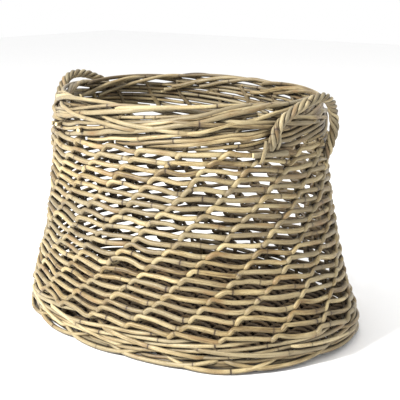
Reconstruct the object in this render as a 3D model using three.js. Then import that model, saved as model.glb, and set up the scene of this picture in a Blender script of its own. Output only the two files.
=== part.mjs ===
// Oval wicker log basket. Millimetres, +Z up, front -Y, long axis along X, standing on z = 0.
import * as THREE from 'three';

// ---- driving dimensions (mm) ----
const RIM_TOP = 400;            // top of the rim border
const OVAL_POWER = 2.08;        // superellipse exponent of every level
const HALF_LONG_RIM = 239.4;    // middle of the wall at the rim, half of the long way
const HALF_SHORT_RIM = 200.3;   // and half of the short way
const FLARE_LONG = 75.3;        // how much wider the foot is, each side, long way
const FLARE_SHORT = 26.2;       // and short way
// share of the flare at each height
const FLARE_Z = [0, 20, 48, 80, 140, 220, 300, 360, 400];
const FLARE_G = [0.892, 1.007, 0.955, 0.779, 0.487, 0.22, 0.097, 0.188, 0.0];

const STRANDS = 22;             // side strands, and slanting lines of turns
const ROWS = 21;                // rows of the open weave
const ROW_Z0 = 56;              // height of the first row
const ROW_PITCH = 13.8;         // height from row to row
const LINE_LEAN = 0.21;         // sideways step of a line per row, in intervals
const LINE_PHASE = 0.31;        // where the first line stands, in intervals
const STRAND_R = 3.60;          // circumradius of a side strand
const WALE_R = 4.2;
const RIM_R = 6.3;
const FOOT_W = 13, FOOT_H = 12; // foot border section
const STICK_R = 3.6;            // base sticks
const BASE_WEAVE_R = 3.3;
const ROPE_R = 3.1;             // one cane of a handle rope
const ROPE_TWIST_R = 4.5;       // its distance from the rope's middle line
const ROD_R = 4.5;

// ---- materials, one per mesh ----
const mat = (name, color, rough) => {
  const m = new THREE.MeshStandardMaterial({ color, roughness: rough, metalness: 0 });
  m.name = name;
  return m;
};
const SIDE = () => mat('side_cane', 0xc2a878, 0.62);
const WALE = () => mat('wale_cane', 0xb9a078, 0.62);
const RIM = () => mat('border_cane', 0xbfa679, 0.6);
const BASE = () => mat('base_cane', 0x94794f, 0.7);
const ROPE = () => mat('handle_cane', 0xb8a27c, 0.6);
const DARK = () => mat('dark_cane', 0x5c5046, 0.65);

// ---- the wall surface ----
function flare(z) {
  const Z = FLARE_Z, G = FLARE_G, n = Z.length;
  if (z <= Z[0]) return G[0];
  if (z >= Z[n - 1]) return G[n - 1];
  let i = 0;
  while (z > Z[i + 1]) i++;
  const slope = k => (G[k + 1] - G[k]) / (Z[k + 1] - Z[k]);
  const m0 = i === 0 ? slope(0) : 0.5 * (slope(i - 1) + slope(i));
  const m1 = i === n - 2 ? slope(n - 2) : 0.5 * (slope(i) + slope(i + 1));
  const h = Z[i + 1] - Z[i], t = (z - Z[i]) / h;
  const t2 = t * t, t3 = t2 * t;
  return (2 * t3 - 3 * t2 + 1) * G[i] + (t3 - 2 * t2 + t) * h * m0
    + (-2 * t3 + 3 * t2) * G[i + 1] + (t3 - t2) * h * m1;
}
const halfLong = z => HALF_LONG_RIM + FLARE_LONG * flare(z);
const halfShort = z => HALF_SHORT_RIM + FLARE_SHORT * flare(z);
function oval(a, b, th) {
  const c = Math.cos(th), s = Math.sin(th), e = 2 / OVAL_POWER;
  return [a * Math.sign(c) * Math.abs(c) ** e, b * Math.sign(s) * Math.abs(s) ** e];
}
function outward(a, b, th) {
  const d = 1e-3;
  const [x0, y0] = oval(a, b, th - d), [x1, y1] = oval(a, b, th + d);
  const l = Math.hypot(x1 - x0, y1 - y0);
  return [(y1 - y0) / l, -(x1 - x0) / l];
}
const arcCache = new Map();
function arcTable(z) {
  const key = Math.round(z * 4);
  if (arcCache.has(key)) return arcCache.get(key);
  const a = halfLong(key / 4), b = halfShort(key / 4), N = 720, s = [0];
  let p = oval(a, b, -Math.PI);
  for (let i = 1; i <= N; i++) {
    const q = oval(a, b, -Math.PI + (2 * Math.PI * i) / N);
    s.push(s[i - 1] + Math.hypot(q[0] - p[0], q[1] - p[1]));
    p = q;
  }
  arcCache.set(key, s);
  return s;
}
const perimeter = z => arcTable(z)[720];
// a point of the wall: share of the way round, height, distance outward from its middle
function wall(frac, z, depth) {
  const s = arcTable(z), want = (((frac % 1) + 1) % 1) * s[720];
  let lo = 0, hi = 720;
  while (hi - lo > 1) {
    const mid = (lo + hi) >> 1;
    if (s[mid] <= want) lo = mid; else hi = mid;
  }
  const th = -Math.PI + (2 * Math.PI * (lo + (want - s[lo]) / (s[hi] - s[lo]))) / 720;
  const a = halfLong(z), b = halfShort(z);
  const [x, y] = oval(a, b, th), [nx, ny] = outward(a, b, th);
  return { p: new THREE.Vector3(x + nx * depth, y + ny * depth, z), n: new THREE.Vector3(nx, ny, 0) };
}
function wallAtAngle(th, z, depth) {
  const a = halfLong(z), b = halfShort(z);
  const [x, y] = oval(a, b, th), [nx, ny] = outward(a, b, th);
  return { p: new THREE.Vector3(x + nx * depth, y + ny * depth, z), n: new THREE.Vector3(nx, ny, 0) };
}

// ---- swept solids ----
// stations: [{p, n}], section: [[alongN, alongB], ...] counter-clockwise seen along the path
function sweep(stations, section, closed) {
  const m = stations.length, k = section.length, V = [], F = [];
  for (let i = 0; i < m; i++) {
    const prev = stations[closed ? (i + m - 1) % m : Math.max(i - 1, 0)].p;
    const next = stations[closed ? (i + 1) % m : Math.min(i + 1, m - 1)].p;
    const here = stations[i].p;
    const t = new THREE.Vector3();
    if (here.distanceTo(prev) > 1e-6) t.add(here.clone().sub(prev).normalize());
    if (next.distanceTo(here) > 1e-6) t.add(next.clone().sub(here).normalize());
    t.normalize();
    const n = stations[i].n.clone().addScaledVector(t, -stations[i].n.dot(t)).normalize();
    const b = new THREE.Vector3().crossVectors(t, n);
    for (const [u, v] of section) V.push(here.clone().addScaledVector(n, u).addScaledVector(b, v));
  }
  const last = closed ? m : m - 1;
  for (let i = 0; i < last; i++) {
    for (let j = 0; j < k; j++) {
      const a = i * k + j, b = i * k + ((j + 1) % k);
      const c = ((i + 1) % m) * k + j, d = ((i + 1) % m) * k + ((j + 1) % k);
      F.push(a, b, d, a, d, c);
    }
  }
  if (!closed) {
    for (let j = 1; j < k - 1; j++) {
      F.push(0, j + 1, j);
      const e = (m - 1) * k;
      F.push(e, e + j, e + j + 1);
    }
  }
  const g = new THREE.BufferGeometry();
  g.setAttribute('position', new THREE.Float32BufferAttribute(V.flatMap(v => [v.x, v.y, v.z]), 3));
  g.setIndex(F);
  g.computeVertexNormals();
  return g;
}
function round(r, sides, turn = 0.5) {
  return Array.from({ length: sides }, (_, i) => {
    const a = (2 * Math.PI * (i + turn)) / sides;
    return [r * Math.cos(a), r * Math.sin(a)];
  });
}

const group = new THREE.Group();
group.name = 'wicker_log_basket';
function add(name, geometry, material) {
  const mesh = new THREE.Mesh(geometry, material);
  mesh.name = name;
  group.add(mesh);
}
const two = i => String(i).padStart(2, '0');

// ---- side strands ----
// local points near a line of turns: [along, outward, up]
const OUT_START = [3.26, 4.2, -2.86];
const OUT_END = [3.41, 4.45, -11.04];
const IN_LOW = [8.82, -4.45, -10.46];
const IN_HIGH = [13.05, -4.4, 8.32];
function nearLine(line, row, [along, depth, up]) {
  const z = ROW_Z0 + ROW_PITCH * row + up;
  const frac = (line + LINE_PHASE + LINE_LEAN * row) / STRANDS;
  return wall(frac + along / perimeter(z), z, depth);
}
for (let s = 0; s < STRANDS; s++) {
  const st = [
    nearLine(s, 0, [-8.5, -4.4, -39]),
    nearLine(s, 0, [-6.2, -4.4, -24.6]),
    nearLine(s, 0, [-1.95, -4.4, -5.9]),
  ];
  for (let j = 0; j < ROWS; j++) {
    st.push(nearLine(s + j, j, OUT_START));
    st.push(nearLine(s + j + 1, j, OUT_END));
    st.push(nearLine(s + j + 1, j, IN_LOW));
    if (j < ROWS - 1) st.push(nearLine(s + j + 1, j, IN_HIGH));
  }
  const k = s + ROWS, top = ROWS - 1;
  st.push(nearLine(k, top, [13.05, -4.6, 8.32]));
  st.push(nearLine(k, top, [19, -4.6, 385 - ROW_Z0 - ROW_PITCH * top]));
  add(`side_strand_${two(s + 1)}`, sweep(st, round(STRAND_R, 4), false), SIDE());
}

// ---- level rings ----
function level(z, depth, section, count, turn = 0) {
  const st = [];
  for (let i = 0; i < count; i++) st.push(wall((i + turn) / count, z, depth));
  return sweep(st, section, true);
}
// foot border: flat underneath
const footSection = [
  [FOOT_W / 2, -FOOT_H / 2], [FOOT_W / 2 - 1, FOOT_H / 2 - 2], [FOOT_W / 2 - 4, FOOT_H / 2],
  [-FOOT_W / 2 + 2, FOOT_H / 2], [-FOOT_W / 2, -FOOT_H / 2],
].map(([u, v]) => [u, -v]).reverse();
add('foot_border', (() => {
  const st = [];
  for (let i = 0; i < 44; i++) {
    const w = wallAtAngle(-Math.PI + (2 * Math.PI * i) / 44, FOOT_H / 2, 4.5);
    st.push(w);
  }
  // along the path the second axis points down, so the section is laid with its flat side down
  return sweep(st, footSection.map(([u, v]) => [u, -v]).reverse(), true);
})(), RIM());
[[17.6, 4.6], [27.0, 4.6], [36.2, 4.6]].forEach(([z, d], i) =>
  add(`bottom_wale_${i + 1}`, level(z, d, round(WALE_R, 5), 40, i * 0.33), WALE()));
[[349.6, 4.6], [358.6, 4.6], [367.6, 4.6], [376.6, 4.6]].forEach(([z, d], i) =>
  add(`upper_wale_${i + 1}`, level(z, d, round(WALE_R, 5), 36, i * 0.25), WALE()));
add('rim_border_outer', level(393.3, 5.0, round(RIM_R, 6), 36), RIM());
add('rim_border_inner', level(393.3, -8.2, round(RIM_R, 6), 36), RIM());

// darker cane laid in the groove of the rim at the back
{
  const st = [];
  for (let i = 0; i <= 7; i++) {
    const th = (107 + (22 * i) / 7) * (Math.PI / 180);
    st.push(wallAtAngle(th, 400.6, -1.6));
  }
  add('rim_dark_cane', sweep(st, round(3.0, 6), false), DARK());
}

// ---- base ----
const straight = (a, b, r, sides, n) =>
  sweep([{ p: new THREE.Vector3(...a), n }, { p: new THREE.Vector3(...b), n }], round(r, sides), false);
const UP = new THREE.Vector3(0, 0, 1);
const insideLong = (y, z) => {
  const a = halfLong(z) - 10.5, b = halfShort(z) - 10.5;
  return a * (1 - (Math.abs(y) / b) ** OVAL_POWER) ** (1 / OVAL_POWER);
};
const insideShort = (x, z) => {
  const a = halfLong(z) - 10.5, b = halfShort(z) - 10.5;
  return b * (1 - (Math.abs(x) / a) ** OVAL_POWER) ** (1 / OVAL_POWER);
};
[-132, -66, 0, 66, 132].forEach((y, i) => {
  const z = 13, x = insideLong(y, z);
  add(`base_stick_long_${i + 1}`, straight([-x, y, z], [x, y, z], STICK_R, 6, UP), BASE());
});
[-216, -144, -72, 0, 72, 144, 216].forEach((x, i) => {
  const z = 20.6, y = insideShort(x, z);
  add(`base_stick_cross_${i + 1}`, straight([x, -y, z], [x, y, z], STICK_R, 6, UP), BASE());
});
[0.9, 0.72, 0.54, 0.36, 0.18].forEach((share, i) => {
  const z = 20.6 + STICK_R + BASE_WEAVE_R + 0.4, a = (halfLong(z) - 12) * share, b = (halfShort(z) - 12) * share;
  const st = [];
  for (let j = 0; j < 28; j++) {
    const th = (2 * Math.PI * j) / 28, [x, y] = oval(a, b, th), [nx, ny] = outward(a, b, th);
    st.push({ p: new THREE.Vector3(x, y, z), n: new THREE.Vector3(nx, ny, 0) });
  }
  add(`base_weave_${i + 1}`, sweep(st, round(BASE_WEAVE_R, 4), true), BASE());
});

// ---- handles ----
const angleAtY = (y, z) => Math.asin(Math.sign(y) * (Math.abs(y) / halfShort(z)) ** (OVAL_POWER / 2));
const FOOT = (y, z, d) => wallAtAngle(angleAtY(y, z), z, d).p;
const AT = (x, y, z) => new THREE.Vector3(x, y, z);
const RIGHT_ROPE = () => [FOOT(-93, 343, 17.2), FOOT(-90, 361, 17.4), FOOT(-79, 380, 18.4), AT(259, -58, 395),
  AT(268, -37, 405), AT(273, -8, 409), AT(271, 19, 399), FOOT(43, 377, 19), FOOT(48, 355, 17.4), FOOT(47, 332, 16.8), FOOT(47, 308, 16.4)];
const LEFT_ROPE = () => [FOOT(-77, 343, 17.2), FOOT(-75, 361, 17.4), AT(258, -62, 383), AT(265, -42, 395.5),
  AT(270, -15, 403), AT(270, 14, 402.5), AT(266, 36, 391.5), FOOT(50, 374, 18.2), FOOT(54, 358, 17.4), FOOT(55, 343, 17.2)];
function ropePoints(pts, side) {
  if (side < 0) pts.forEach(p => { p.x = -p.x; p.y = -p.y; });
  return new THREE.CatmullRomCurve3(pts, false, 'centripetal');
}
function rope(name, pts, yc, side) {
  const curve = ropePoints(pts, side), N = 27, turns = 3.5;
  const centre = curve.getSpacedPoints(N);
  const hub = new THREE.Vector3(0, 0, 0);
  for (let c = 0; c < 3; c++) {
    const st = [];
    for (let i = 0; i <= N; i++) {
      const t = curve.getTangentAt(i / N).normalize();
      hub.set(side * 180, side * yc, 350);
      const out = centre[i].clone().sub(hub);
      const n = out.addScaledVector(t, -out.dot(t)).normalize();
      const b = new THREE.Vector3().crossVectors(t, n);
      const a = 2 * Math.PI * ((turns * i) / N + c / 3);
      const r = n.clone().multiplyScalar(Math.cos(a)).addScaledVector(b, Math.sin(a));
      st.push({ p: centre[i].clone().addScaledVector(r, ROPE_TWIST_R), n: r });
    }
    add(`${name}_rope_${c + 1}`, sweep(st, round(ROPE_R, 5), false), ROPE());
  }
}
rope('handle_right', RIGHT_ROPE(), -23, 1);
rope('handle_left', LEFT_ROPE(), -13, -1);
// rods that the rope ends are locked over
function footRod(name, y, side) {
  const st = [];
  for (let i = 0; i <= 4; i++) {
    const w = wallAtAngle(angleAtY(y - 26 + 13 * i, 331), 331, 13.6);
    if (side < 0) { w.p.x = -w.p.x; w.p.y = -w.p.y; w.n.multiplyScalar(-1); }
    st.push(w);
  }
  add(name, sweep(st, round(ROD_R, 6), false), ROPE());
}
footRod('handle_right_rod', -95, 1);
footRod('handle_left_rod', -75, -1);
// cut cane ends that stick out of the wale
[-116, -101].forEach((deg, i) => {
  const th = deg * Math.PI / 180, a = wallAtAngle(th, 354.1, 9.3), b = wallAtAngle(th, 354.1, 19);
  add(`cut_end_${i + 1}`, sweep([{ p: a.p, n: UP }, { p: b.p, n: UP }], round(3.0, 6), false), WALE());
});

export default group;
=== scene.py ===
import bpy
import math
import numpy as np
from mathutils import Vector, Matrix


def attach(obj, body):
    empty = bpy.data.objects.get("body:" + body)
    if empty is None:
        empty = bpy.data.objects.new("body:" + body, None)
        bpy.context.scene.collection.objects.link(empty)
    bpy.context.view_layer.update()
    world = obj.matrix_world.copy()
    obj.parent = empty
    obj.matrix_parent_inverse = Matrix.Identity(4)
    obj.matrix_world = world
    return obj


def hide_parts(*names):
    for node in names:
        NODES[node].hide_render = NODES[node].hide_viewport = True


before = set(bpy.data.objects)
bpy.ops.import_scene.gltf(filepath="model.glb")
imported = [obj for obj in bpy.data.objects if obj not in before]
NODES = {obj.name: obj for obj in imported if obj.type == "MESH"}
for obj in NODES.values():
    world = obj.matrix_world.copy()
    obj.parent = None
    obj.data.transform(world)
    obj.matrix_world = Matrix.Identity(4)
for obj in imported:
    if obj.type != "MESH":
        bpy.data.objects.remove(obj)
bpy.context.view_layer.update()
MM = 0.001
rng = np.random.default_rng(41)

# ------------------------------------------------------------------ the wall, in mm, as the frame has it
OVAL_POWER = 2.08
HALF_LONG_RIM, HALF_SHORT_RIM = 239.4, 200.3
FLARE_LONG, FLARE_SHORT = 75.3, 26.2
FLARE_Z = np.array([0, 20, 48, 80, 140, 220, 300, 360, 400], float)
FLARE_G = np.array([0.892, 1.007, 0.955, 0.779, 0.487, 0.22, 0.097, 0.188, 0.0])
STRANDS, ROWS, ROW_Z0, ROW_PITCH, LINE_LEAN, LINE_PHASE = 22, 21, 56.0, 13.8, 0.21, 0.31


def flare(z):
    z = np.clip(np.asarray(z, float), FLARE_Z[0], FLARE_Z[-1])
    Z, G, n = FLARE_Z, FLARE_G, len(FLARE_Z)
    sl = np.diff(G) / np.diff(Z)
    m = np.empty(n)
    m[0], m[-1] = sl[0], sl[-1]
    m[1:-1] = 0.5 * (sl[:-1] + sl[1:])
    i = np.clip(np.searchsorted(Z, z, side="right") - 1, 0, n - 2)
    h = Z[i + 1] - Z[i]
    t = (z - Z[i]) / h
    t2, t3 = t * t, t * t * t
    return (2 * t3 - 3 * t2 + 1) * G[i] + (t3 - 2 * t2 + t) * h * m[i] + (3 * t2 - 2 * t3) * G[i + 1] + (t3 - t2) * h * m[i + 1]


def half_long(z):
    return HALF_LONG_RIM + FLARE_LONG * flare(z)


def half_short(z):
    return HALF_SHORT_RIM + FLARE_SHORT * flare(z)


def oval(a, b, th):
    c, s = np.cos(th), np.sin(th)
    e = 2 / OVAL_POWER
    return a * np.sign(c) * np.abs(c) ** e, b * np.sign(s) * np.abs(s) ** e


ZG = np.arange(-10.0, 412.0, 3.0)
NF = 1440
_fg = np.linspace(0, 1, NF + 1)
TH = np.empty((len(ZG), NF + 1))
PERIM = np.empty(len(ZG))
_t = np.linspace(-np.pi, np.pi, 2881)
for _i, _z in enumerate(ZG):
    _x, _y = oval(half_long(_z), half_short(_z), _t)
    _s = np.concatenate([[0], np.cumsum(np.hypot(np.diff(_x), np.diff(_y)))])
    PERIM[_i] = _s[-1]
    TH[_i] = np.interp(_fg * _s[-1], _s, _t)


def perimeter(z):
    return np.interp(z, ZG, PERIM)


def theta_of(frac, z):
    f = np.mod(frac, 1.0) * NF
    f0 = np.clip(f.astype(int), 0, NF - 1)
    ft = f - f0
    zi = np.clip((z - ZG[0]) / (ZG[1] - ZG[0]), 0, len(ZG) - 1.001)
    z0 = zi.astype(int)
    zt = zi - z0
    lo = TH[z0, f0] * (1 - ft) + TH[z0, f0 + 1] * ft
    hi = TH[z0 + 1, f0] * (1 - ft) + TH[z0 + 1, f0 + 1] * ft
    return lo * (1 - zt) + hi * zt


def at_angle(th, z, depth):
    th, z, depth = np.broadcast_arrays(np.asarray(th, float), np.asarray(z, float), np.asarray(depth, float))
    a, b = half_long(z), half_short(z)
    x, y = oval(a, b, th)
    gx = np.sign(x) * np.abs(x / a) ** (OVAL_POWER - 1) / a
    gy = np.sign(y) * np.abs(y / b) ** (OVAL_POWER - 1) / b
    l = np.hypot(gx, gy)
    n = np.stack([gx / l, gy / l, np.zeros_like(gx)], -1)
    p = np.stack([x, y, z], -1) + n * depth[..., None]
    return p, n


def wall(frac, z, depth):
    frac, z, depth = np.broadcast_arrays(np.asarray(frac, float), np.asarray(z, float), np.asarray(depth, float))
    return at_angle(theta_of(frac, z), z, depth)


class Field:
    """A smooth random field over the wall: share of the way round, height."""

    def __init__(self, amp, m_lo, m_hi, kz, n, seed):
        r = np.random.default_rng(seed)
        self.m = r.integers(m_lo, m_hi + 1, n) * r.choice([-1, 1], n)
        self.k = r.normal(0, kz, n)
        self.p = r.uniform(0, 2 * np.pi, n)
        self.a = amp * math.sqrt(2 / n)

    def __call__(self, frac, z):
        q = 2 * np.pi * self.m * np.asarray(frac)[..., None] + self.k * np.asarray(z)[..., None] + self.p
        return self.a * np.sin(q).sum(-1)


# slow unevenness of the whole weave, shared by every cane that passes
SAG_Z = Field(1.2, 3, 26, 0.035, 18, 3)
SAG_S = Field(1.9, 3, 22, 0.035, 18, 4)
SAG_D = Field(1.4, 3, 14, 0.022, 14, 5)


def drawn_in(frac, z):
    """Under the handles the top of the wall is drawn in a little."""
    t = np.degrees(theta_of(frac, np.clip(z, 0, 399)))
    g = np.exp(-((((t - 12 + 180) % 360 - 180) / 26) ** 2)) * 13.0 + np.exp(-((((t + 150 + 180) % 360 - 180) / 28) ** 2)) * 11.0
    return -g * np.clip((z - 308) / 46, 0, 1)


def uneven(frac, z, depth):
    """The same place after the weave's unevenness, which fades out at the foot and rim."""
    fade = np.clip((z - 5) / 45, 0, 1) * np.clip((400 - z) / 40, 0.25, 1)
    return frac + SAG_S(frac, z) * fade / perimeter(z), z + SAG_Z(frac, z) * fade, depth + SAG_D(frac, z) * fade + drawn_in(frac, z)


# ------------------------------------------------------------------ smooth paths and swept canes
def catmull(P, step=1.0, closed=False):
    """Centripetal Catmull-Rom through P (n, k); the first three columns are the place. Returns dense rows."""
    P = np.asarray(P, float)
    if closed:
        P = np.concatenate([P[-1:], P, P[:2]])
    else:
        P = np.concatenate([[2 * P[0] - P[1]], P, [2 * P[-1] - P[-2]]])
    out = []
    for i in range(1, len(P) - 2):
        p0, p1, p2, p3 = P[i - 1], P[i], P[i + 1], P[i + 2]
        d = lambda a, b: max(np.linalg.norm((b - a)[:3]), 1e-6) ** 0.5
        t0, t1 = 0, d(p0, p1)
        t2 = t1 + d(p1, p2)
        t3 = t2 + d(p2, p3)
        n = max(2, int(np.linalg.norm((p2 - p1)[:3]) / step))
        t = np.linspace(t1, t2, n, endpoint=False)[:, None]
        a1 = (t1 - t) / (t1 - t0) * p0 + (t - t0) / (t1 - t0) * p1
        a2 = (t2 - t) / (t2 - t1) * p1 + (t - t1) / (t2 - t1) * p2
        a3 = (t3 - t) / (t3 - t2) * p2 + (t - t2) / (t3 - t2) * p3
        b1 = (t2 - t) / (t2 - t0) * a1 + (t - t0) / (t2 - t0) * a2
        b2 = (t3 - t) / (t3 - t1) * a2 + (t - t1) / (t3 - t1) * a3
        out.append((t2 - t) / (t2 - t1) * b1 + (t - t1) / (t2 - t1) * b2)
    if not closed:
        out.append(P[-2:-1])
    return np.concatenate(out)


def norm(v):
    return v / np.maximum(np.linalg.norm(v, axis=-1, keepdims=True), 1e-9)


CANE_COUNT = [0]


def cane(name, P, N, r, material, sides=10, step=3.0, ends=(0.0, 0.0), tone=None, hue=None,
         nodes=(70, 200), replaces=(), taper=(1.0, 1.0), shade=0.0, inner_painted_shade=None, wobble=0.05, back=0.75):
    """One whole cane swept along P (mm), N its outward reference. ends: 1 is a pale cut face, 0 a tucked end."""
    CANE_COUNT[0] += 1
    cr = np.random.default_rng(1000 + CANE_COUNT[0])
    d = np.linalg.norm(np.diff(P, axis=0), axis=1)
    keep = np.concatenate([[True], d > 1e-4])
    P, N = P[keep], N[keep]
    if inner_painted_shade is not None:
        inner_painted_shade = np.asarray(inner_painted_shade)[keep]
    back_p = np.broadcast_to(np.asarray(back, float), keep.shape)[keep]
    s = np.concatenate([[0], np.cumsum(np.linalg.norm(np.diff(P, axis=0), axis=1))])
    L = s[-1]
    # joints of the cane
    joints, q = [], cr.uniform(20, nodes[1])
    while q < L - 8:
        joints.append(q)
        q += cr.uniform(*nodes)
    joints = np.array(joints)
    u = np.linspace(0, L, max(3, int(L / step)))
    if len(joints):
        extra = (joints[:, None] + np.array([-2.6, -1.5, -0.7, 0.0, 0.7, 1.5, 2.6])).ravel()
        u = np.concatenate([u[np.min(np.abs(u[:, None] - joints[None]), axis=1) > 3.2], extra])
        u = np.unique(np.clip(u, 0, L))
    C = np.stack([np.interp(u, s, P[:, k]) for k in range(3)], -1)
    R = norm(np.stack([np.interp(u, s, N[:, k]) for k in range(3)], -1))
    T = norm(np.gradient(C, axis=0))
    R = norm(R - (R * T).sum(-1, keepdims=True) * T)
    B = np.cross(T, R)
    n = len(u)
    rad = r * (taper[0] + (taper[1] - taper[0]) * u / L)
    # slow swelling, and a small collar and groove at each joint
    ph = cr.uniform(0, 6.28, 4)
    rad = rad * (1 + wobble * 0.6 * np.sin(u / 37 + ph[0]) + wobble * 0.4 * np.sin(u / 13.7 + ph[1]))
    mask = np.zeros(n)
    seg = np.searchsorted(joints, u) if len(joints) else np.zeros(n, int)
    if len(joints):
        near = u[:, None] - joints[None]
        j = np.abs(near).argmin(1)
        dd = near[np.arange(n), j]
        strong = cr.uniform(0.45, 1.0, len(joints))[j]
        mask = np.exp(-((dd / 1.15) ** 2)) * strong + 0.35 * np.exp(-((np.abs(dd) / 5.0) ** 2)) * strong ** 2
        rad = rad * (1 + 0.055 * np.exp(-(((dd + 1.6) / 1.3) ** 2)) - 0.05 * np.exp(-((dd / 0.7) ** 2)) + 0.03 * np.exp(-(((dd - 2.0) / 1.6) ** 2)))
    if ends[0] == 0:
        rad = rad * (0.82 + 0.18 * np.clip(u / 10, 0, 1))
    if ends[1] == 0:
        rad = rad * (0.82 + 0.18 * np.clip((L - u) / 10, 0, 1))
    phi = 2 * np.pi * (np.arange(sides) + 0.5) / sides
    oval_ph = cr.uniform(0, 6.28) + u / cr.uniform(90, 180)
    ov = 1 + 0.035 * np.cos(2 * (phi[None] - oval_ph[:, None]))
    RR = rad[:, None] * ov
    V = C[:, None] + RR[..., None] * (np.cos(phi)[None, :, None] * R[:, None] + np.sin(phi)[None, :, None] * B[:, None])
    verts = V.reshape(-1, 3)
    i = np.arange(n - 1)[:, None] * sides
    k = np.arange(sides)[None]
    k2 = (k + 1) % sides
    quads = np.stack([i + k, i + k2, i + sides + k2, i + sides + k], -1).reshape(-1, 4)
    # ends: a chamfer ring and a centre
    caps, capv, tris = [], [], []
    for e, (ci, t, cut) in enumerate(((0, -T[0], ends[0]), (n - 1, T[-1], ends[1]))):
        base = len(verts) + sum(len(c) for c in capv)
        ring = C[ci] + (V[ci] - C[ci]) * 0.86 + t * r * (0.10 if cut else 0.25)
        mid = (C[ci] + t * r * (0.10 if cut else 0.3))[None]
        capv.append(np.concatenate([ring, mid]))
        o = ci * sides
        for q0 in range(sides):
            q1 = (q0 + 1) % sides
            if e == 0:
                caps.append([o + q1, o + q0, base + q0, base + q1])
                tris.append([base + q1, base + q0, base + sides])
            else:
                caps.append([o + q0, o + q1, base + q1, base + q0])
                tris.append([base + q0, base + q1, base + sides])
    allv = np.concatenate([verts] + capv) * MM
    loops = np.concatenate([quads.ravel(), np.array(caps).ravel(), np.array(tris).ravel()]).astype(np.int32)
    sizes = np.concatenate([np.full(len(quads) + len(caps), 4), np.full(len(tris), 3)]).astype(np.int32)
    me = bpy.data.meshes.new(name)
    me.vertices.add(len(allv))
    me.vertices.foreach_set("co", allv.astype(np.float32).ravel())
    me.loops.add(len(loops))
    me.loops.foreach_set("vertex_index", loops)
    me.polygons.add(len(sizes))
    me.polygons.foreach_set("loop_start", np.concatenate([[0], np.cumsum(sizes)[:-1]]).astype(np.int32))
    me.polygons.foreach_set("loop_total", sizes)
    me.update(calc_edges=True)
    me.validate()
    me.polygons.foreach_set("use_smooth", np.ones(len(me.polygons), bool))
    # what the materials read: place along and round the cane, tones, and the painted shade mask
    off = cr.uniform(0, 40)
    cu = np.repeat(u, sides) * MM + off
    cx = (rad[:, None] * np.cos(phi)).ravel() * MM
    cy = (rad[:, None] * np.sin(phi)).ravel() * MM
    endv = 2 * (sides + 1)
    pos = np.stack([cu, cx, cy], -1)
    cap_pos = []
    for e, ci in ((0, 0), (1, n - 1)):
        ring = np.stack([np.full(sides, u[ci] * MM + off), cx[ci * sides:(ci + 1) * sides] * 0.86, cy[ci * sides:(ci + 1) * sides] * 0.86], -1)
        cap_pos += [ring, np.array([[u[ci] * MM + off, 0, 0]])]
    pos = np.concatenate([pos] + cap_pos)
    tone0 = cr.normal(0.5, 0.17) if tone is None else tone + cr.normal(0, 0.05)
    hue0 = cr.uniform(0, 1) if hue is None else hue
    segtone = np.clip(tone0 + cr.normal(0, 0.13, seg.max() + 1), 0.02, 0.98)
    seghue = np.clip(hue0 + cr.normal(0, 0.10, seg.max() + 1), 0, 1)
    # painted shade: the inner amount plus shade, raised by back on the side facing into the basket
    inner_shade_amount = np.zeros(n) if inner_painted_shade is None else np.interp(u, s, inner_painted_shade)
    inner_shade_amount = np.clip(inner_shade_amount + shade, 0, 1)
    col = np.stack([segtone[seg], mask, seghue[seg], inner_shade_amount], -1)
    col = np.repeat(col, sides, axis=0)
    inward = np.clip(-np.cos(phi) * 1.15 + 0.15, 0, 1)
    back_u = np.interp(u, s, back_p)
    col[:, 3] = np.maximum(col[:, 3], (back_u[:, None] * inward[None]).ravel())
    cut = np.zeros(len(col))
    capc, capcut = [], []
    for e, ci in ((0, 0), (1, n - 1)):
        capc.append(np.repeat(col[ci * sides][None], sides + 1, axis=0))
        capcut.append(np.full(sides + 1, float(ends[e])))
    col = np.concatenate([col] + capc)
    cut = np.concatenate([cut] + capcut)
    a = me.attributes.new("cane", "FLOAT_VECTOR", "POINT")
    a.data.foreach_set("vector", pos.astype(np.float32).ravel())
    for an, v in (("tone", col[:, 0]), ("joint", col[:, 1]), ("hue", col[:, 2]), ("inner_painted_shade", col[:, 3]), ("cut", cut)):
        a = me.attributes.new(an, "FLOAT", "POINT")
        a.data.foreach_set("value", v.astype(np.float32))
    o = bpy.data.objects.new(name, me)
    bpy.context.scene.collection.objects.link(o)
    me.materials.append(material)
    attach(o, "root")
    if replaces:
        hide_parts(*replaces)
    return o


# ------------------------------------------------------------------ materials
def srgb(r, g, b):
    f = lambda c: ((c / 255 + 0.055) / 1.055) ** 2.4 if c > 10.3 else c / 255 / 12.92
    return (0.8 * f(r), 0.79 * f(g), 0.71 * f(b), 1.0)


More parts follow.
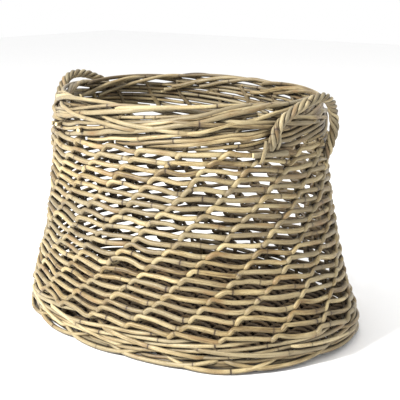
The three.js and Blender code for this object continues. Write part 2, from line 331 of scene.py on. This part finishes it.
def cane_material(name, pale, mid, deep, grey, rough=0.5, grey_amount=0.5, bump=0.5, value=1.0):
    m = bpy.data.materials.new(name)
    m.use_nodes = True
    nt = m.node_tree
    nt.nodes.clear()
    N, Lk = nt.nodes.new, nt.links.new
    out = N("ShaderNodeOutputMaterial")
    bs = N("ShaderNodeBsdfPrincipled")
    Lk(bs.outputs[0], out.inputs[0])

    def attr(n):
        a = N("ShaderNodeAttribute")
        a.attribute_name = n
        return a

    def math_(op, a, b=None, clamp=False):
        q = N("ShaderNodeMath")
        q.operation = op
        q.use_clamp = clamp
        for i, v in enumerate((a, b)):
            if v is None:
                continue
            if isinstance(v, (int, float)):
                q.inputs[i].default_value = v
            else:
                Lk(v, q.inputs[i])
        return q.outputs[0]

    def mix(fac, a, b, mode="MIX"):
        q = N("ShaderNodeMix")
        q.data_type = "RGBA"
        q.blend_type = mode
        q.clamp_factor = True
        for i, v in ((0, fac), (6, a), (7, b)):
            if isinstance(v, (int, float)):
                q.inputs[i].default_value = v
            elif isinstance(v, tuple):
                q.inputs[i].default_value = v
            else:
                Lk(v, q.inputs[i])
        return q.outputs[2]

    def noise(scale, vec, detail=2.0, rough_=0.5, scale3=None):
        mp = N("ShaderNodeMapping")
        mp.inputs["Scale"].default_value = scale3 or (1, 1, 1)
        Lk(vec, mp.inputs["Vector"])
        q = N("ShaderNodeTexNoise")
        q.inputs["Scale"].default_value = scale
        q.inputs["Detail"].default_value = detail
        q.inputs["Roughness"].default_value = rough_
        Lk(mp.outputs[0], q.inputs["Vector"])
        return q.outputs[0]

    cane_a = attr("cane").outputs["Vector"]
    tone = attr("tone").outputs["Fac"]
    joint = attr("joint").outputs["Fac"]
    hue = attr("hue").outputs["Fac"]
    inner_painted_shade = attr("inner_painted_shade").outputs["Fac"]
    cut = attr("cut").outputs["Fac"]

    blotch = noise(1.0, cane_a, 3.0, 0.6, (34, 120, 120))
    streak = noise(1.0, cane_a, 4.0, 0.62, (26, 900, 900))
    fine = noise(1.0, cane_a, 3.0, 0.6, (160, 2600, 2600))
    spots = noise(1.0, cane_a, 2.0, 0.5, (420, 620, 620))

    # tone with slow drift along the cane
    t1 = math_("ADD", tone, math_("MULTIPLY", math_("SUBTRACT", blotch, 0.5), 1.55))
    t2 = math_("ADD", t1, math_("MULTIPLY", math_("SUBTRACT", streak, 0.5), 2.1), clamp=True)
    ramp = N("ShaderNodeValToRGB")
    Lk(t2, ramp.inputs[0])
    cr = ramp.color_ramp
    cr.elements[0].position, cr.elements[0].color = 0.0, deep
    cr.elements[1].position, cr.elements[1].color = 1.0, pale
    e = cr.elements.new(0.45)
    e.color = mid
    base = ramp.outputs[0]
    # some canes are greyer than others
    gfac = math_("MULTIPLY", math_("SUBTRACT", math_("ADD", hue, math_("MULTIPLY", blotch, 0.5)), 0.45, clamp=True), grey_amount, clamp=True)
    base = mix(gfac, base, grey)
    # fine fibre streaks
    fs = N("ShaderNodeMapRange")
    fs.inputs[1].default_value, fs.inputs[2].default_value = 0.3, 0.75
    fs.inputs[3].default_value, fs.inputs[4].default_value = 1.12, 0.62
    Lk(fine, fs.inputs[0])
    comb = N("ShaderNodeCombineColor")
    for i in range(3):
        Lk(fs.outputs[0], comb.inputs[i])
    base = mix(0.8, base, comb.outputs[0], "MULTIPLY")
    # weathered grey and brown patches
    patch = noise(1.0, cane_a, 2.0, 0.5, (13, 45, 45))
    pg = N("ShaderNodeMapRange")
    pg.inputs[1].default_value, pg.inputs[2].default_value = 0.54, 0.66
    Lk(patch, pg.inputs[0])
    base = mix(math_("MULTIPLY", pg.outputs[0], 0.5 * grey_amount, clamp=True), base, grey)
    pb = N("ShaderNodeMapRange")
    pb.inputs[1].default_value, pb.inputs[2].default_value = 0.44, 0.32
    Lk(patch, pb.inputs[0])
    base = mix(math_("MULTIPLY", pb.outputs[0], 0.55, clamp=True), base, srgb(134, 98, 56))
    # dark flecks
    fl = N("ShaderNodeMapRange")
    fl.inputs[1].default_value, fl.inputs[2].default_value = 0.62, 0.70
    Lk(spots, fl.inputs[0])
    base = mix(math_("MULTIPLY", fl.outputs[0], 0.6, clamp=True), base, srgb(92, 66, 38))
    # joints: a dark thin ring
    base = mix(math_("MULTIPLY", joint, 1.0, clamp=True), base, srgb(56, 38, 20))
    # painted shade: the inner side and the inside of the wall are darkened toward deep brown, where shade falls
    base = mix(math_("MULTIPLY", inner_painted_shade, 0.92, clamp=True), base, srgb(58, 42, 24), "MIX")
    # cut faces: pale pith with a darker skin
    base = mix(math_("MULTIPLY", cut, 0.9, clamp=True), base, srgb(236, 220, 178))
    # painted shade: colour darkened toward deep brown in creases and gaps between canes, found by ambient occlusion
    ao = N("ShaderNodeAmbientOcclusion")
    ao.samples = 6
    ao.inputs["Distance"].default_value = 0.014
    ao_painted_shade = N("ShaderNodeMapRange")
    ao_painted_shade.inputs[1].default_value, ao_painted_shade.inputs[2].default_value = 0.25, 0.86
    ao_painted_shade.inputs[3].default_value, ao_painted_shade.inputs[4].default_value = 0.85, 0.0
    Lk(ao.outputs["AO"], ao_painted_shade.inputs[0])
    base = mix(ao_painted_shade.outputs[0], base, srgb(44, 30, 16))
    Lk(base, bs.inputs["Base Color"])

    rr = N("ShaderNodeMapRange")
    rr.inputs[3].default_value, rr.inputs[4].default_value = rough - 0.10, rough + 0.16
    Lk(streak, rr.inputs[0])
    Lk(rr.outputs[0], bs.inputs["Roughness"])
    bs.inputs["Specular IOR Level"].default_value = 0.42
    bs.inputs["Sheen Weight"].default_value = 0.06
    bs.inputs["Sheen Roughness"].default_value = 0.5

    h1 = math_("MULTIPLY", streak, 0.6)
    h2 = math_("ADD", h1, math_("MULTIPLY", fine, 0.4))
    h3 = math_("SUBTRACT", h2, math_("MULTIPLY", fl.outputs[0], 0.25))
    bp = N("ShaderNodeBump")
    bp.inputs["Strength"].default_value = bump
    bp.inputs["Distance"].default_value = 0.0009
    Lk(h3, bp.inputs["Height"])
    Lk(bp.outputs[0], bs.inputs["Normal"])
    return m


SIDE_M = cane_material("side_cane_look", srgb(214, 196, 154), srgb(166, 145, 104), srgb(104, 82, 50), srgb(134, 123, 102), rough=0.42, grey_amount=0.8)
WALE_M = cane_material("wale_cane_look", srgb(218, 202, 164), srgb(172, 152, 114), srgb(108, 88, 56), srgb(138, 128, 108), rough=0.42, grey_amount=0.85)
RIM_M = cane_material("border_cane_look", srgb(214, 196, 156), srgb(168, 148, 108), srgb(104, 84, 52), srgb(134, 124, 104), rough=0.42, grey_amount=0.8)
ROPE_M = cane_material("handle_cane_look", srgb(200, 184, 150), srgb(150, 134, 102), srgb(96, 80, 54), srgb(128, 120, 102), rough=0.45, grey_amount=0.8)
# painted shade: the floor canes get darker colours because they lie in shade inside the basket
BASE_SHADED_M = cane_material("base_cane_shaded_look", srgb(124, 102, 68), srgb(92, 72, 44), srgb(60, 46, 28), srgb(80, 70, 54), rough=0.62, grey_amount=0.5)
DARK_M = cane_material("dark_cane_look", srgb(120, 112, 102), srgb(88, 80, 72), srgb(56, 50, 44), srgb(98, 94, 90), rough=0.55, grey_amount=0.7)

# ------------------------------------------------------------------ side strands
def near(line, row, loc):
    z = ROW_Z0 + ROW_PITCH * row + loc[2]
    frac = (line + LINE_PHASE + LINE_LEAN * row) / STRANDS + loc[0] / perimeter(z)
    return [frac, z, loc[1]]


# near a line of turns: along, outward, up (mm)
IN_A = (-6.4, -4.8, -10.4)      # inside, on the way up to the turn
HOOK = ((-6.6, -2.0, -9.4), (-4.8, 2.8, -7.4), (-1.6, 5.2, -4.2), (2.0, 5.1, -1.1), (6.8, 3.8, 0.4))
TAIL = ((-7.0, 2.4, -0.2), (-1.6, -0.6, -0.6), (4.0, -4.0, -1.2), (8.2, -5.2, 1.6))

jit = np.random.default_rng(77)
side_r = np.clip(jit.normal(4.1, 0.22, STRANDS), 3.65, 4.5)
for s_ in range(STRANDS):
    K = [near(s_, 0, (-8.5, -4.6, -40)), near(s_, 0, (-9.5, -4.6, -24.5)), near(s_, 0, IN_A)]
    for j in range(ROWS):
        k0, k1 = s_ + j, s_ + j + 1
        hx, hz, hs = jit.normal(0, 1.3), jit.normal(0, 0.5), 1 + 0.12 * jit.normal()
        for i, h in enumerate(HOOK):
            w = i / 4
            K.append(near(k0, j, (h[0] * hs + hx * w, h[1] + (0.3 * jit.normal() if i > 1 else 0), h[2] * hs + hz * w)))
        a = K[-1]
        low = 1 - j / (ROWS - 1.0)
        end_z = -3.2 - 2.6 * low + jit.normal(0, 0.7)
        b = near(k1, j, (-16.0 + jit.normal(0, 1.5), 3.2, end_z))
        bow, out = jit.normal(0.1, 0.75), jit.normal(-0.5, 0.9)
        for t, w in ((0.12, 0.25), (0.4, 0.95), (0.68, 0.85), (0.9, 0.3)):
            K.append([a[0] + (b[0] - a[0]) * t, a[1] + (b[1] - a[1]) * t + bow * w, a[2] + (b[2] - a[2]) * t + out * w])
        K.append(b)
        for t in TAIL:
            K.append(near(k1, j, (t[0], t[1], t[2] + end_z)))
    k, top = s_ + ROWS, ROWS - 1
    zt = ROW_Z0 + ROW_PITCH * top
    K.append(near(k, top, (8.5, -4.8, 8.0)))
    K.append(near(k, top, (20.0 + jit.normal(0, 3), -4.6, 362 - zt)))
    K.append(near(k, top, (32.0 + jit.normal(0, 4), -3.6, 384 - zt)))
    K = np.array(K)
    f, z, d = uneven(K[:, 0], K[:, 1], K[:, 2])
    p, n = wall(f, z, d)
    D = catmull(np.concatenate([p, n, K[:, 2:3]], 1), 1.5)
    # painted shade: stretches inside the wall and faces turned into the basket are darkened, more so low down
    inner_painted_shade = np.clip(-D[:, 6] / 5.0, 0, 1) * 0.55
    cane(f"side_strand_{s_ + 1:02d}_cane", D[:, :3], D[:, 3:6], side_r[s_], SIDE_M, sides=10, step=2.4,
         tone=float(np.clip(jit.normal(0.56, 0.14), 0.25, 0.9)), replaces=(f"side_strand_{s_ + 1:02d}",), inner_painted_shade=inner_painted_shade,
         back=0.95 - 0.65 * np.clip((D[:, 2] - 240) / 90, 0, 1))

# ------------------------------------------------------------------ upper wale and rolled rim border: one set of canes
def around(th_deg, centre, width):
    d = (th_deg - centre + 180) % 360 - 180
    return np.exp(-((d / width) ** 2))


def mouth(frac, z):
    """The mouth is not quite level: where it rises and dips."""
    t = np.degrees(theta_of(frac, np.clip(z, 0, 399)))
    g = 4.0 * around(t, -32, 20) + 2.0 * around(t, 120, 22) - 5.0 * around(t, 45, 22)
    return g * np.clip((z - 340) / 45, 0, 1)


# cross-section of the band: distance q along it -> (height, outward)
Q = np.array([0, 6, 43, 49, 56, 63, 70, 77, 100.0])
QZ = np.array([337, 343.0, 385.0, 391.0, 396.0, 396.8, 392.0, 386.0, 362.0])
QD = np.array([-3.8, 1.8, 1.8, 1.6, -0.6, -6.2, -10.6, -12.0, -11.0])
rim_jit = np.random.default_rng(5)
for k in range(STRANDS):
    # some canes climb the band quickly and lie over the slower ones
    fast = (k * 7) % 3 == 0
    climb = rim_jit.uniform(4.2, 4.9) if fast else rim_jit.uniform(5.2, 6.2)
    lead = rim_jit.uniform(-0.15, 0.15)
    UQ = np.array([0, 0.5, 1, climb, climb + 0.8, climb + 1.6, climb + 2.6, climb + 4.2])
    QQ = np.array([0, 4.0, 8.0, 41, 49, 60, 74, 98])
    u = np.linspace(0, climb + 3.9 + rim_jit.uniform(-0.6, 0.5), 80)
    q = np.interp(u, UQ, QQ)
    q = np.convolve(np.pad(q, 3, mode="edge"), np.ones(7) / 7, "valid")
    z = np.interp(q, Q, QZ)
    d = np.interp(q, Q, QD)
    z = np.convolve(np.pad(z, 2, mode="edge"), np.ones(5) / 5, "valid")
    d = np.convolve(np.pad(d, 2, mode="edge"), np.ones(5) / 5, "valid")
    frac = (k + 0.35 + LINE_PHASE + lead + LINE_LEAN * 20 + u) / STRANDS
    amp = np.clip((u - 0.6) / 1.0, 0, 1) * np.clip((climb + 0.6 - u) / 1.0, 0, 1)
    d = d + amp * ((1.5 if fast else -0.4) + 0.9 * np.sin(2 * np.pi * (u * 0.5 + 0.5 * (k % 2))) + 0.4 * rim_jit.normal())
    z = z + 0.8 * np.sin(2 * np.pi * u * rim_jit.uniform(0.14, 0.26) + rim_jit.uniform(0, 6.3)) * np.clip(u, 0, 1)
    d = d + 0.6 * np.sin(2 * np.pi * u * 0.31 + rim_jit.uniform(0, 6.3))
    f, z, d = uneven(frac, z, d)
    z = np.minimum(z, 400.5)
    p, n = wall(f, z, d)
    p[:, 2] += mouth(f, z)
    D = catmull(np.concatenate([p, n], 1), 1.5)
    # painted shade: the part of the cane turned inside, and its inward side, slightly darkened
    rim_inner_painted_shade = np.interp(np.linspace(0, 1, len(D)), u / u[-1], np.clip((u - climb - 1.6) / 1.5, 0, 1)) * 0.05
    rep = ("upper_wale_1", "upper_wale_2", "upper_wale_3", "upper_wale_4", "rim_border_outer", "rim_border_inner") if k == 0 else ()
    cane(f"rim_cane_{k + 1:02d}", D[:, :3], D[:, 3:6], float(np.clip(rim_jit.normal(3.5, 0.35), 3.0, 4.2)), WALE_M if k % 3 else RIM_M,
         sides=10, step=3.5, ends=(0.0, 1.0), tone=float(np.clip(rim_jit.normal(0.55, 0.2), 0.15, 0.95)), replaces=rep, inner_painted_shade=rim_inner_painted_shade, nodes=(110, 280), back=0.1)

# shorter canes that fall the other way over the band
for k in range(13):
    ln = rim_jit.uniform(0.11, 0.17)
    t = np.linspace(0, 1, 50)
    fr = (k + rim_jit.uniform(-0.25, 0.25)) / 13 + ln * t
    z = rim_jit.uniform(372, 390) - rim_jit.uniform(15, 23) * t + 0.8 * np.sin(5 * t + k)
    d = 4.2 + 1.8 * np.sin(2 * np.pi * t * 2.4 + k) - 9 * np.clip(0.14 - t, 0, 1) / 0.14 - 10 * np.clip(t - 0.88, 0, 1) / 0.12
    p, n = wall(fr, z, d + drawn_in(fr, z))
    p[:, 2] += mouth(fr, z)
    D = catmull(np.concatenate([p, n], 1), 1.5)
    # painted shade: their side facing into the basket is slightly darkened
    cane(f"band_cross_cane_{k + 1:02d}", D[:, :3], D[:, 3:6], float(np.clip(rim_jit.normal(3.5, 0.25), 3.0, 4.0)), RIM_M,
         sides=10, step=3.5, tone=float(np.clip(rim_jit.normal(0.6, 0.18), 0.2, 0.95)), back=0.12)

# the inside layer of the band
for k in range(14):
    t = np.linspace(0, 1, 90)
    z = 345 + 43 * t + 1.2 * np.sin(11 * t + k)
    fr = k / 14 + 0.36 * t + rim_jit.uniform(-0.01, 0.01)
    p, n = wall(fr, z, -4.4 + 1.0 * np.sin(26 * t + 2 * k) + drawn_in(fr, z))
    # painted shade: their side facing into the basket is slightly darkened
    cane(f"band_inner_cane_{k + 1:02d}", p, n, 3.3, WALE_M, sides=8, step=5, tone=float(np.clip(rim_jit.normal(0.45, 0.15), 0.1, 0.85)), shade=0.0, back=0.08)

# darker cane laid along the rim at the back
th = np.radians(np.linspace(107, 129, 40))
arch = np.linspace(0, 1, 40)
p, n = at_angle(th, 396.5 + 5.2 * np.sin(np.pi * arch), -2.0 + 1.5 * np.sin(5 * arch))
cane("rim_dark_cane_look", p, n, 3.1, DARK_M, sides=10, step=3, replaces=("rim_dark_cane",), tone=0.4)
# second layer of the rim roll: a few long canes laid on top
for k in range(7):
    a0 = k / 7 + rim_jit.uniform(-0.02, 0.02)
    ln = rim_jit.uniform(0.13, 0.2)
    t = np.linspace(0, 1, 40)
    lift = np.sin(np.pi * np.clip(t, 0, 1)) ** 0.6
    p, n = wall(a0 + ln * t, 391 + 7.4 * lift, 2.2 - 8.0 * t + drawn_in(a0 + ln * t, 391 + 7.4 * lift))
    p[:, 2] += mouth(a0 + ln * t, p[:, 2])
    cane(f"rim_top_cane_{k + 1}", p, n, 3.4, RIM_M, sides=10, step=3.5, tone=float(np.clip(rim_jit.normal(0.6, 0.15), 0.3, 0.9)))

# ------------------------------------------------------------------ bottom wale
bw = np.random.default_rng(9)
WN = 15
for k in range(WN):
    long_ = bw.uniform(3.6, 4.6)
    u = np.linspace(0, long_, 60)
    up = bw.uniform(7.0, 10.5)
    z = 9.0 + bw.uniform(-1, 2.5) + up * u
    z = np.minimum(z, 45 + 0.15 * z)
    d = 3.4 + 1.6 * np.sin(2 * np.pi * (u * STRANDS / WN * 0.5 + 0.5 * (k % 2))) + bw.normal(0, 0.6)
    d = np.where(u < 0.35, d - 9 * (0.35 - u) / 0.35, d)
    d = np.where(u > long_ - 0.4, d - 9.5 * (u - long_ + 0.4) / 0.4, d)
    z = z + 1.7 * np.sin(2 * np.pi * u * bw.uniform(0.2, 0.4) + bw.uniform(0, 6.3))
    fr = (k + u + bw.uniform(-0.15, 0.15)) / WN + 0.013
    lift = around(np.degrees(theta_of(fr, np.clip(z, 0, 60))), -12, 26) * np.clip((60 - z) / 40, 0, 1)
    p, n = wall(fr, z + 4.5 * lift, d - 6.0 * lift)
    D = catmull(np.concatenate([p, n], 1), 1.5)
    cane(f"bottom_wale_cane_{k + 1:02d}", D[:, :3], D[:, 3:6], float(np.clip(bw.normal(3.6, 0.35), 3.0, 4.3)), WALE_M,
         sides=10, step=3.5, tone=float(np.clip(bw.normal(0.6, 0.18), 0.2, 0.95)), replaces=("bottom_wale_1", "bottom_wale_2", "bottom_wale_3") if k == 0 else ())
# shorter canes that fall the other way, over the first ones
WF = 12
for k in range(WF):
    ln = bw.uniform(1.2, 1.9)
    t = np.linspace(0, 1, 50)
    z = bw.uniform(36, 42) - bw.uniform(22, 27) * t + 1.0 * np.sin(5 * t + k)
    d = 6.4 + 1.0 * np.sin(2 * np.pi * t * 1.3 + k) - 13 * np.clip(0.12 - t, 0, 1) / 0.12 * 0.9 - 10 * np.clip(t - 0.9, 0, 1) / 0.1
    fr = (k + bw.uniform(-0.25, 0.25) + ln * t) / WF
    lift = around(np.degrees(theta_of(fr, np.clip(z, 0, 60))), -12, 26) * np.clip((60 - z) / 40, 0, 1)
    p, n = wall(fr, z + 4.5 * lift, d - 6.0 * lift)
    D = catmull(np.concatenate([p, n], 1), 1.5)
    cut_ = bw.uniform() < 0.4
    cane(f"bottom_cross_cane_{k + 1:02d}", D[:, :3], D[:, 3:6], float(np.clip(bw.normal(3.5, 0.3), 3.0, 4.0)), WALE_M,
         sides=10, step=3.5, tone=float(np.clip(bw.normal(0.62, 0.15), 0.2, 0.95)), ends=(1.0 if cut_ else 0.0, 0.0))

# ------------------------------------------------------------------ foot border: overlapping scallops the basket stands on
SC = 16
fb = np.random.default_rng(21)
for k in range(SC):
    span = 1.75 + fb.uniform(-0.1, 0.15)
    t = np.array([0, 0.10, 0.25, 0.5, 0.75, 0.9, 1.0])
    sag = fb.uniform(-1.5, 2.0)
    z = np.array([15.5, 12.5, 6.4, 3.9, 6.6, 12.5, 16.5])
    d = np.array([-5.0, 3.5, 10.0, 13.2 + sag * 0.5, 10.5, 4.0, -5.0])
    ta = np.degrees(theta_of((k + span * t) / SC + 0.004, np.full(7, 8.0)))
    d = d + 7.0 * around(ta, -47, 16) - 2.5 * around(ta, -70, 12) - 11.0 * around(ta, -8, 26)
    z = z + 8.0 * around(ta, -8, 26) + 1.5 * around(ta, -70, 12)
    p, n = wall((k + span * t) / SC + 0.004, z, d)
    D = catmull(np.concatenate([p, n], 1), 1.5)
    cane(f"foot_cane_{k + 1:02d}", D[:, :3], D[:, 3:6], 3.85, RIM_M, sides=10, step=3.5,
         tone=float(np.clip(fb.normal(0.62, 0.14), 0.3, 0.92)), replaces=("foot_border",) if k == 0 else ())
for k in range(9):
    a0 = k / 9 + fb.uniform(-0.01, 0.01)
    t = np.linspace(0, 1, 50)
    ta = np.degrees(theta_of(a0 + 0.17 * t, np.full(50, 8.0)))
    p, n = wall(a0 + 0.17 * t, 4.2 + 5.0 * t + 6.0 * around(ta, -8, 26), 2.2 + 2.0 * np.sin(2 * np.pi * t * 1.5 + k) - 9.0 * around(ta, -8, 26) + 3.0 * around(ta, -47, 16))
    cane(f"foot_core_cane_{k + 1}", p, n, 3.7, RIM_M, sides=10, step=3.5, tone=float(np.clip(fb.normal(0.5, 0.15), 0.2, 0.9)))

# ------------------------------------------------------------------ floor
base_nodes_long = [f"base_stick_long_{i}" for i in range(1, 6)]
base_nodes_cross = [f"base_stick_cross_{i}" for i in range(1, 8)]
base_nodes_weave = [f"base_weave_{i}" for i in range(1, 6)]
fl = np.random.default_rng(33)
FLOOR_Z = 17.5
FA, FB = half_long(FLOOR_Z) - 8.5, half_short(FLOOR_Z) - 8.5
warp_x = [-252, -216, -180, -144, -108, -72, -36, 0, 36, 72, 108, 144, 180, 216, 252]
for i, x0 in enumerate(warp_x):
    yl = FB * (1 - (abs(x0) / FA) ** OVAL_POWER) ** (1 / OVAL_POWER)
    for side in (-1, 1):
        y = np.linspace(-yl, yl, 40)
        P = np.stack([np.full(40, x0 + side * 3.9) + 0.8 * np.sin(y / 40 + i), y, np.full(40, FLOOR_Z)], -1)
        rep = ()
        if side == -1 and i == 0:
            rep = base_nodes_cross
        cane(f"base_rod_{i + 1:02d}_{'a' if side < 0 else 'b'}", P, np.tile([0, 0, 1.0], (40, 1)), 3.6, BASE_SHADED_M, sides=8, step=8,
             tone=float(np.clip(fl.normal(0.5, 0.15), 0.1, 0.9)), replaces=rep)
nw = 0
y0 = -FB + 8
while y0 < FB - 6:
    xl = FA * (1 - (abs(y0) / FB) ** OVAL_POWER) ** (1 / OVAL_POWER)
    if xl > 40:
        x = np.arange(-xl, xl + 1, 6.0)
        ph = nw % 2
        w = np.cos(np.pi * x / 36.0) * (1 if ph else -1)
        w = np.sign(w) * np.abs(w) ** 0.7
        P = np.stack([x, y0 + 1.0 * np.sin(x / 60 + nw * 1.7), FLOOR_Z + 6.4 * w], -1)
        rep = base_nodes_long if nw == 0 else (base_nodes_weave if nw == 1 else ())
        D = catmull(np.concatenate([P, np.tile([0, 0, 1.0], (len(P), 1))], 1), 2.0)
        cane(f"base_weave_cane_{nw + 1:02d}", D[:, :3], D[:, 3:6], 3.2, BASE_SHADED_M, sides=8, step=5,
             tone=float(np.clip(fl.normal(0.5, 0.16), 0.1, 0.9)), replaces=rep)
        nw += 1
    y0 += 8.3

# ------------------------------------------------------------------ handles
def foot_point(y, z, d):
    a = half_long(z)
    b = half_short(z)
    th_ = math.asin(max(-1, min(1, math.copysign((abs(y) / b) ** (OVAL_POWER / 2), y))))
    p, n = at_angle(th_, z, d)
    return p, n


def foot_at(y, z, d):
    return foot_point(y, z, d)[0]


RIGHT_ROPE = [foot_at(-92, 338, 12.5), foot_at(-90, 352, 15.5), foot_at(-79, 375, 16.5), [257, -58, 394], [267, -37, 405], [272, -8, 409],
              [270, 19, 399], foot_at(43, 376, 17.0), foot_at(48, 352, 13.5), foot_at(47, 331, 11.5), foot_at(47, 304, 9.0)]
LEFT_ROPE = [foot_at(-77, 338, 12.0), foot_at(-75, 358, 15.0), [257, -62, 385], [267, -42, 398],
             [272, -15, 406.5], [272, 14, 406], [268, 37, 394.5], foot_at(52, 375, 17.5), foot_at(56, 357, 15.0), foot_at(57, 334, 12.0)]


def handle(tag, y0, y1, side, pts):
    yc = (y0 + y1) / 2
    path = catmull(np.array(pts), 1.0)
    if side < 0:
        path[:, :2] *= -1
    s = np.concatenate([[0], np.cumsum(np.linalg.norm(np.diff(path, axis=0), axis=1))])
    L = s[-1]
    n = 170
    u = np.linspace(0, L, n)
    C = np.stack([np.interp(u, s, path[:, i]) for i in range(3)], -1)
    T = norm(np.gradient(C, axis=0))
    hub = np.array([side * 180.0, side * yc, 350.0])
    R = C - hub
    R = norm(R - (R * T).sum(-1, keepdims=True) * T)
    B = np.cross(T, R)
    # core, darkened with painted shade under the wraps
    cane(f"handle_{tag}_core", C, R, 2.4, ROPE_M, sides=10, step=4, replaces=(f"handle_{tag}_rope_1",), shade=0.25)
    turns, count, rr = L / 56.0, 4, 4.9
    hj = np.random.default_rng(50 + (side > 0))
    for c in range(count):
        a = -2 * np.pi * (turns * u / L) * 1.0 + 2 * np.pi * c / count
        prof = rr * (0.55 + 0.45 * np.clip(u / 16, 0, 1)) * (0.55 + 0.45 * np.clip((L - u) / 16, 0, 1))
        off = np.cos(a)[:, None] * R + np.sin(a)[:, None] * B
        P = C + off * prof[:, None]
        rep = (f"handle_{tag}_rope_2",) if c == 0 else ((f"handle_{tag}_rope_3",) if c == 1 else ())
        cane(f"handle_{tag}_wrap_{c + 1}", P, off, float(np.clip(hj.normal(3.25, 0.15), 3.0, 3.6)), ROPE_M, sides=10, step=3,
             tone=float(np.clip(hj.normal(0.55, 0.15), 0.2, 0.9)), replaces=rep)
    # the rod that the near end is locked over, and strands that drop over it
    rod = []
    rn = []
    for yy in np.linspace(y0 - 17, y0 + 30, 14):
        p_, n_ = foot_point(yy, 330.0, 11.4)
        rod.append(p_)
        rn.append(n_)
    rod, rn = np.array(rod), np.array(rn)
    if side < 0:
        rod[:, :2] *= -1
        rn[:, :2] *= -1
    cane(f"handle_{tag}_rod_look", rod, rn, 4.3, ROPE_M, sides=12, step=3, ends=(1.0, 1.0), hue=0.9, tone=0.6, replaces=(f"handle_{tag}_rod",))
    for m, (dy, zt, zb, dd) in enumerate(((-6.0, 352, 322, 16.6), (1.0, 356, 333, 12.4), (7.5, 358, 334, 12.4), (14.0, 360, 335, 12.0))):
        q = []
        qn = []
        for zz, de in ((zt, dd + 2.5), ((zt + zb) / 2, dd + 1.5), (zb + 8, dd), (zb, dd - (1.0 if m == 0 else 6.0)), (zb - 5, dd - (9.0 if m == 0 else 12))):
            p_, n_ = foot_point(y0 + dy, zz, de)
            q.append(p_)
            qn.append(n_)
        q, qn = np.array(q), np.array(qn)
        if side < 0:
            q[:, :2] *= -1
            qn[:, :2] *= -1
        D = catmull(np.concatenate([q, qn], 1), 1.0)
        cane(f"handle_{tag}_end_{m + 1}", D[:, :3], D[:, 3:6], 3.0, ROPE_M, sides=10, step=2.5, tone=0.62)


handle("right", -95, 49, 1, RIGHT_ROPE)
handle("left", -75, 49, -1, LEFT_ROPE)

# ------------------------------------------------------------------ cut ends
def stub(name, th_deg, z, d0, d1, r=3.3, slope=0.0, along=0.0, replaces=()):
    t = np.linspace(0, 1, 8)
    p, n = at_angle(math.radians(th_deg) + along * t / 250, z + slope * t, d0 + (d1 - d0) * t)
    up = np.tile([0, 0, 1.0], (8, 1))
    cane(name, p, up, r, WALE_M, sides=10, step=2, ends=(0.0, 1.0), tone=0.75, replaces=replaces)


stub("cut_end_1_look", -116, 352.5, -2, 13.5, replaces=("cut_end_1",), along=6)
stub("cut_end_2_look", -101, 352.0, -2, 13.5, replaces=("cut_end_2",), along=8)
stub("cut_end_3_look", -121, 351.0, -2, 13.0, along=4)

# ------------------------------------------------------------------ stage, light, camera
sc = bpy.context.scene
floor_me = bpy.data.meshes.new("floor")
F = 6.0
floor_me.from_pydata([(-F, -F, 0), (F, -F, 0), (F, F, 0), (-F, F, 0)], [], [(0, 1, 2, 3)])
floor = bpy.data.objects.new("floor", floor_me)
sc.collection.objects.link(floor)
fm = bpy.data.materials.new("floor_look")
fm.use_nodes = True
fb_ = fm.node_tree.nodes["Principled BSDF"]
fb_.inputs["Base Color"].default_value = (0.93, 0.93, 0.93, 1)
fb_.inputs["Roughness"].default_value = 0.9
floor_me.materials.append(fm)

world = bpy.data.worlds.new("studio")
sc.world = world
world.use_nodes = True
bg = world.node_tree.nodes["Background"]
bg.inputs[0].default_value = (1.0, 1.0, 1.0, 1)
bg.inputs[1].default_value = 1.0


def area(name, loc, target, size, power, color=(1, 1, 1)):
    l = bpy.data.lights.new(name, "AREA")
    l.shape = "DISK"
    l.size = size
    l.energy = power
    l.color = color
    o = bpy.data.objects.new(name, l)
    o.location = loc
    o.rotation_euler = (Vector(target) - Vector(loc)).to_track_quat("-Z", "Y").to_euler()
    sc.collection.objects.link(o)
    return o


# camera, from the fitted view of the photograph
PHI, DIST, CAM_Z, PITCH, FOCAL_PX, X0, CY = -0.67035, 1.46914, 0.58606, 0.25584, 853.235, -0.0221, 199.92
c_, s_2 = math.cos(PHI), math.sin(PHI)


def from_view(x, y, z):
    """A point given right, away and up from the camera's ground frame, in the row frame."""
    x = x - X0
    return Vector((c_ * x + s_2 * y, -s_2 * x + c_ * y, z))


cam_d = bpy.data.cameras.new("camera")
cam = bpy.data.objects.new("camera", cam_d)
sc.collection.objects.link(cam)
sc.camera = cam
loc = from_view(0, -DIST, CAM_Z)
look = from_view(0, -DIST + math.cos(PITCH), CAM_Z - math.sin(PITCH))
cam.location = loc
cam.rotation_euler = (look - loc).to_track_quat("-Z", "Y").to_euler()
cam_d.sensor_width = 36
cam_d.lens = FOCAL_PX / 400 * 36
cam_d.clip_end = 50

area("key", from_view(-1.75, -1.15, 1.75), (0, 0, 0.2), 0.42, 112, (1.0, 0.985, 0.96))
area("fill", from_view(1.6, -1.3, 0.9), (0, 0, 0.2), 1.6, 0.5, (0.97, 0.98, 1.0))
area("top", from_view(0.0, 0.1, 2.2), (0, 0, 0.2), 1.0, 10)

sc.view_settings.view_transform = "Standard"
sc.view_settings.look = "None"
